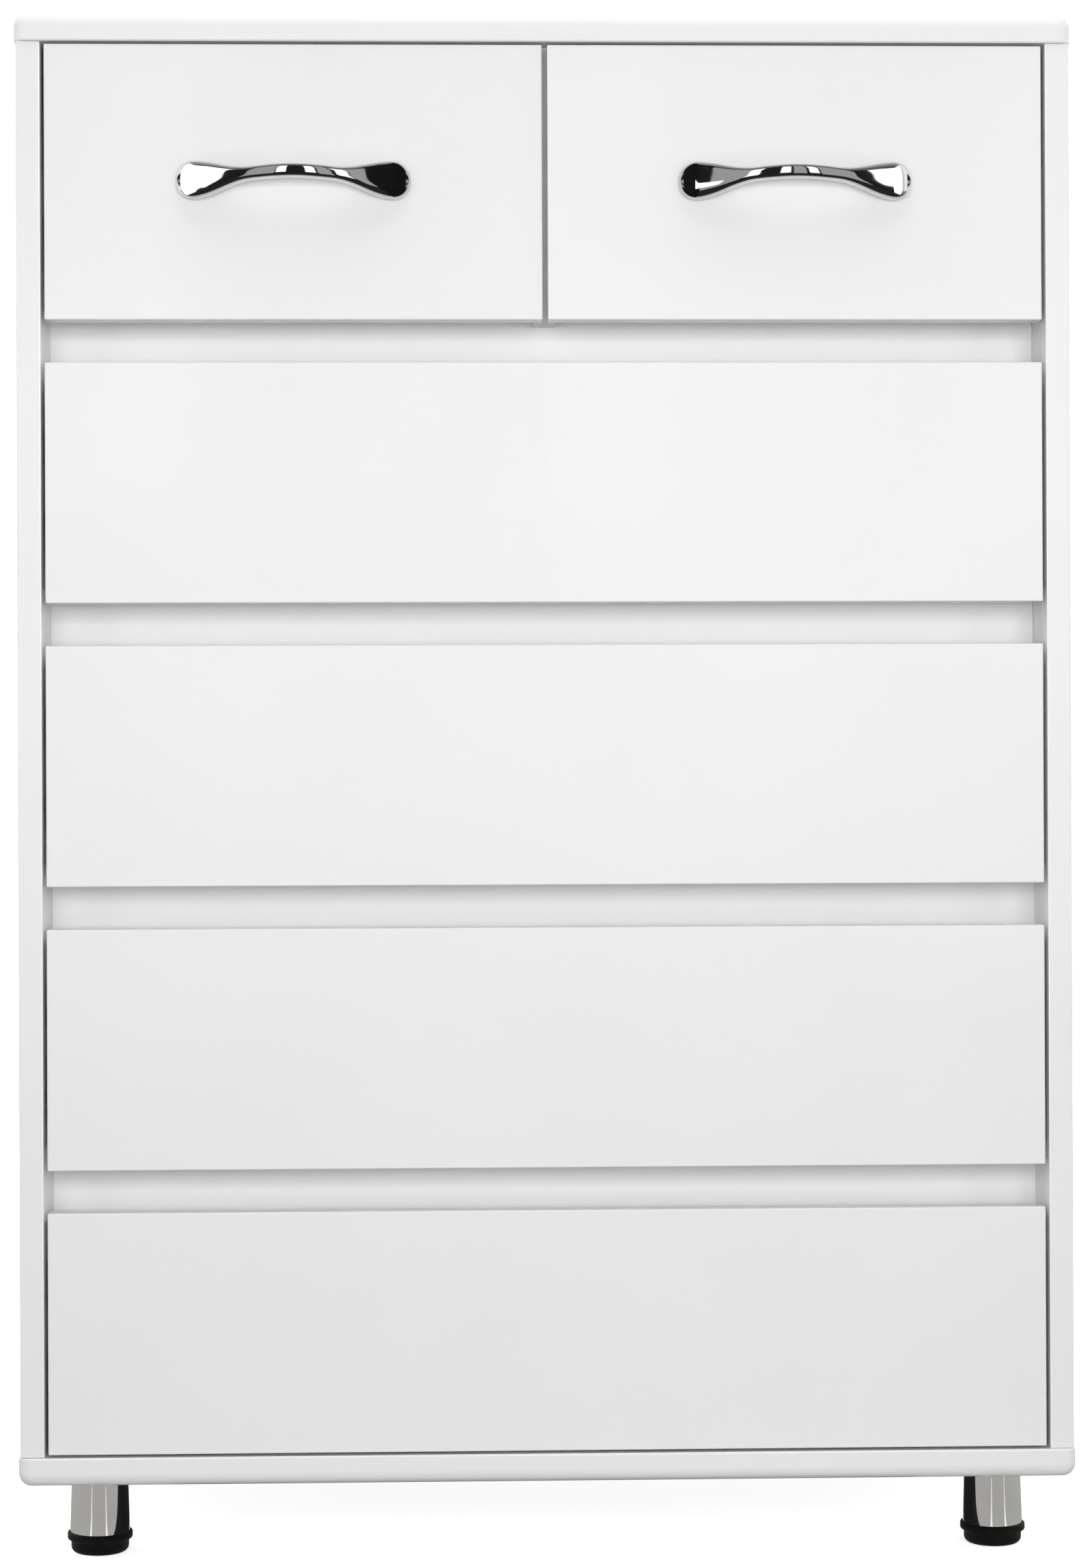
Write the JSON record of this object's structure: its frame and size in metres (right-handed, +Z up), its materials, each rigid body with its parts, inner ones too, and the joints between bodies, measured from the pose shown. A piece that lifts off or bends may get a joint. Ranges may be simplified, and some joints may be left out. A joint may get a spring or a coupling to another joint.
{
  "type": "chest of drawers",
  "caption": "Tall free-standing white gloss chest of drawers: small drawers with chrome bow handles over wide drawers with recessed grip channels, on round chrome legs.",
  "frame": {"origin": "centre of the overall box at floor level, handles included", "axes": "+Z up, the drawers open towards -Y, +X to the right as seen from the front"},
  "size_m": [0.8, 0.426, 1.17],
  "materials": {
    "white_gloss": "high gloss white lacquer",
    "white_board": "satin white melamine",
    "hardboard": "matt white-coated hardboard",
    "zinc_steel": "bright zinc plate",
    "chrome": "mirror chrome plate",
    "black_rubber": "satin",
    "beech": "raw"
  },
  "bodies": {
    "carcass": {"top_board": "white_gloss", "bottom_board": "white_gloss", "left_side": "white_gloss", "right_side": "white_gloss", "back_panel": "hardboard", "centre_divider": "white_board", "mid_shelf": "white_board", "grip_rails": "white_gloss", "cabinet_runners": "zinc_steel", "carcass_dowels": "beech", "leg_tubes": "chrome", "leg_feet": "black_rubber", "leg_plates": "zinc_steel", "leg_screws": "zinc_steel"},
    "drawer_1": {"drawer_1_front": "white_gloss", "drawer_1_left_side": "white_board", "drawer_1_right_side": "white_board", "drawer_1_back": "white_board", "drawer_1_bottom": "hardboard", "drawer_1_runners": "zinc_steel", "handle_left": "chrome", "handle_screws_left": "zinc_steel"},
    "cages_1": {"drawer_1_ball_cages": "zinc_steel"},
    "drawer_2": {"drawer_2_front": "white_gloss", "drawer_2_left_side": "white_board", "drawer_2_right_side": "white_board", "drawer_2_back": "white_board", "drawer_2_bottom": "hardboard", "drawer_2_runners": "zinc_steel", "handle_right": "chrome", "handle_screws_right": "zinc_steel"},
    "cages_2": {"drawer_2_ball_cages": "zinc_steel"},
    "drawer_3": {"drawer_3_front": "white_gloss", "drawer_3_left_side": "white_board", "drawer_3_right_side": "white_board", "drawer_3_back": "white_board", "drawer_3_bottom": "hardboard", "drawer_3_runners": "zinc_steel"},
    "cages_3": {"drawer_3_ball_cages": "zinc_steel"},
    "drawer_4": {"drawer_4_front": "white_gloss", "drawer_4_left_side": "white_board", "drawer_4_right_side": "white_board", "drawer_4_back": "white_board", "drawer_4_bottom": "hardboard", "drawer_4_runners": "zinc_steel"},
    "cages_4": {"drawer_4_ball_cages": "zinc_steel"},
    "drawer_5": {"drawer_5_front": "white_gloss", "drawer_5_left_side": "white_board", "drawer_5_right_side": "white_board", "drawer_5_back": "white_board", "drawer_5_bottom": "hardboard", "drawer_5_runners": "zinc_steel"},
    "cages_5": {"drawer_5_ball_cages": "zinc_steel"},
    "drawer_6": {"drawer_6_front": "white_gloss", "drawer_6_left_side": "white_board", "drawer_6_right_side": "white_board", "drawer_6_back": "white_board", "drawer_6_bottom": "hardboard", "drawer_6_runners": "zinc_steel"},
    "cages_6": {"drawer_6_ball_cages": "zinc_steel"}
  },
  "joints": [
    {"name": "drawer_1_slide", "type": "slide", "parent": "carcass", "child": "drawer_1", "axis": [0, -1, 0], "range_m": [0, 0.25]},
    {"name": "drawer_2_slide", "type": "slide", "parent": "carcass", "child": "drawer_2", "axis": [0, -1, 0], "range_m": [0, 0.25]},
    {"name": "drawer_3_slide", "type": "slide", "parent": "carcass", "child": "drawer_3", "axis": [0, -1, 0], "range_m": [0, 0.25]},
    {"name": "drawer_4_slide", "type": "slide", "parent": "carcass", "child": "drawer_4", "axis": [0, -1, 0], "range_m": [0, 0.25]},
    {"name": "drawer_5_slide", "type": "slide", "parent": "carcass", "child": "drawer_5", "axis": [0, -1, 0], "range_m": [0, 0.25]},
    {"name": "drawer_6_slide", "type": "slide", "parent": "carcass", "child": "drawer_6", "axis": [0, -1, 0], "range_m": [0, 0.25]},
    {"name": "cages_1_roll", "type": "slide", "parent": "carcass", "child": "cages_1", "axis": [0, -1, 0], "range_m": [0, 0.125]},
    {"name": "cages_2_roll", "type": "slide", "parent": "carcass", "child": "cages_2", "axis": [0, -1, 0], "range_m": [0, 0.125]},
    {"name": "cages_3_roll", "type": "slide", "parent": "carcass", "child": "cages_3", "axis": [0, -1, 0], "range_m": [0, 0.125]},
    {"name": "cages_4_roll", "type": "slide", "parent": "carcass", "child": "cages_4", "axis": [0, -1, 0], "range_m": [0, 0.125]},
    {"name": "cages_5_roll", "type": "slide", "parent": "carcass", "child": "cages_5", "axis": [0, -1, 0], "range_m": [0, 0.125]},
    {"name": "cages_6_roll", "type": "slide", "parent": "carcass", "child": "cages_6", "axis": [0, -1, 0], "range_m": [0, 0.125]}
  ],
  "couplings": [
    {"joint": "cages_1_roll", "follows": "drawer_1_slide", "ratio": 0.5},
    {"joint": "cages_2_roll", "follows": "drawer_2_slide", "ratio": 0.5},
    {"joint": "cages_3_roll", "follows": "drawer_3_slide", "ratio": 0.5},
    {"joint": "cages_4_roll", "follows": "drawer_4_slide", "ratio": 0.5},
    {"joint": "cages_5_roll", "follows": "drawer_5_slide", "ratio": 0.5},
    {"joint": "cages_6_roll", "follows": "drawer_6_slide", "ratio": 0.5}
  ]
}
